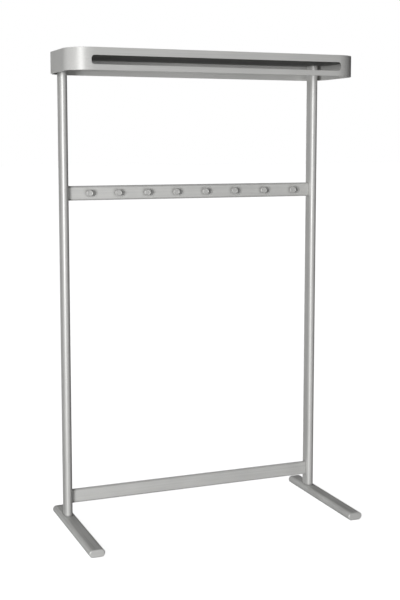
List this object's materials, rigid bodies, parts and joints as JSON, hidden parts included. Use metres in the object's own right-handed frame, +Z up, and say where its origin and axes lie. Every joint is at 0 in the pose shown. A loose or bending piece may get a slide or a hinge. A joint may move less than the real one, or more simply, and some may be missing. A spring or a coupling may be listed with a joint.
{
  "type": "valet stand",
  "caption": "Free-standing valet and coat stand: flat-oval posts on long feet, knob rail, cross bar and a slotted hood with rounded corners, all in satin silver.",
  "frame": {"origin": "on the floor, at the middle of the footprint of the two feet", "axes": "+Z up, +X along the width to the right seen from the front, +Y to the back"},
  "size_m": [1.096, 0.502, 1.721],
  "materials": {
    "cap_silver": "satin",
    "fastener_steel": "zinc plated",
    "glide": "black nylon",
    "hood_silver": "satin silver",
    "knob_silver": "satin turned",
    "plate_metal": "mill finish",
    "plug_metal": "mill finish",
    "rail_silver": "satin silver, fine brushing along the length",
    "tube_silver": "satin silver"
  },
  "bodies": {
    "root": {"bar_block_left": "plug_metal", "bar_block_right": "plug_metal", "bar_plug_left": "plug_metal", "bar_plug_right": "plug_metal", "connector_pins": "fastener_steel", "fixing_plate_left": "plate_metal", "fixing_plate_right": "plate_metal", "floor_glides": "glide", "foot_block_left": "plug_metal", "foot_block_right": "plug_metal", "foot_bolts": "fastener_steel", "foot_cap_back_left": "cap_silver", "foot_cap_back_right": "cap_silver", "foot_cap_front_left": "cap_silver", "foot_cap_front_right": "cap_silver", "foot_left": "tube_silver", "foot_right": "tube_silver", "hood_band_back": "hood_silver", "hood_band_front": "hood_silver", "hood_screws": "fastener_steel", "hood_splice_left": "plate_metal", "hood_splice_right": "plate_metal", "hood_tray": "hood_silver", "knob_1": "knob_silver", "knob_2": "knob_silver", "knob_3": "knob_silver", "knob_4": "knob_silver", "knob_5": "knob_silver", "knob_6": "knob_silver", "knob_7": "knob_silver", "knob_8": "knob_silver", "knob_rail": "rail_silver", "knob_screws": "fastener_steel", "lower_bar": "rail_silver", "post_foot_plug_left": "plug_metal", "post_foot_plug_right": "plug_metal", "post_left": "tube_silver", "post_right": "tube_silver", "post_top_plug_left": "plug_metal", "post_top_plug_right": "plug_metal", "rail_block_left": "plug_metal", "rail_block_right": "plug_metal", "rail_plug_left": "plug_metal", "rail_plug_right": "plug_metal", "set_screws": "fastener_steel"}
  },
  "joints": []
}
